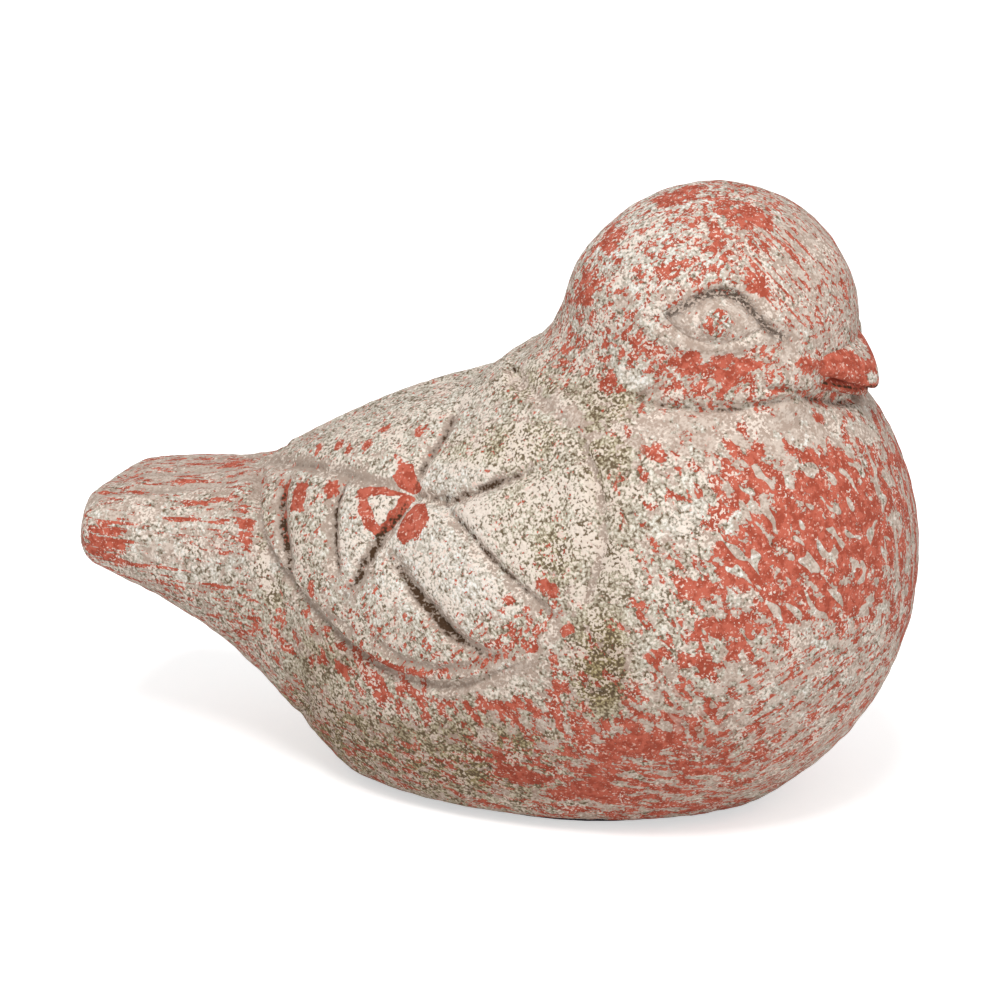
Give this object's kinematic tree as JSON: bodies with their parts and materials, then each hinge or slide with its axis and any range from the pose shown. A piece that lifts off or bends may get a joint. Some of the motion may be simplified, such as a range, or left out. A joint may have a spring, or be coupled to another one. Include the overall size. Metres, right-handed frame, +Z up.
{
  "type": "bird statue",
  "caption": "Plump standing bird ornament with a round head, short blunt beak, almond eyes, folded wings with cut feather lines and a flat fan tail, on a flat felted base.",
  "frame": {"origin": "middle of the resting face: under the middle of the overall length, on the plane of symmetry, on the ground", "axes": "+X forward along the length towards the beak, +Y to the bird's left across the body, +Z up"},
  "size_m": [0.2178, 0.1184, 0.1562],
  "materials": {
    "body": "worn red clay under a gritty off-white wash",
    "head": "worn red clay under a gritty off-white wash",
    "beak": "bare red clay, slightly smooth",
    "eye_right": "gritty off-white wash",
    "eye_left": "gritty off-white wash",
    "wing_right": "gritty off-white wash over red clay",
    "wing_left": "gritty off-white wash over red clay",
    "tail": "worn red clay under a gritty off-white wash",
    "base_plate": "bare red clay",
    "felt": "dark pressed felt"
  },
  "bodies": {
    "root": {"body": "body", "head": "head", "beak": "beak", "eye_right": "eye_right", "eye_left": "eye_left", "wing_right": "wing_right", "wing_left": "wing_left", "tail": "tail", "base_plate": "base_plate", "felt": "felt"}
  },
  "joints": []
}
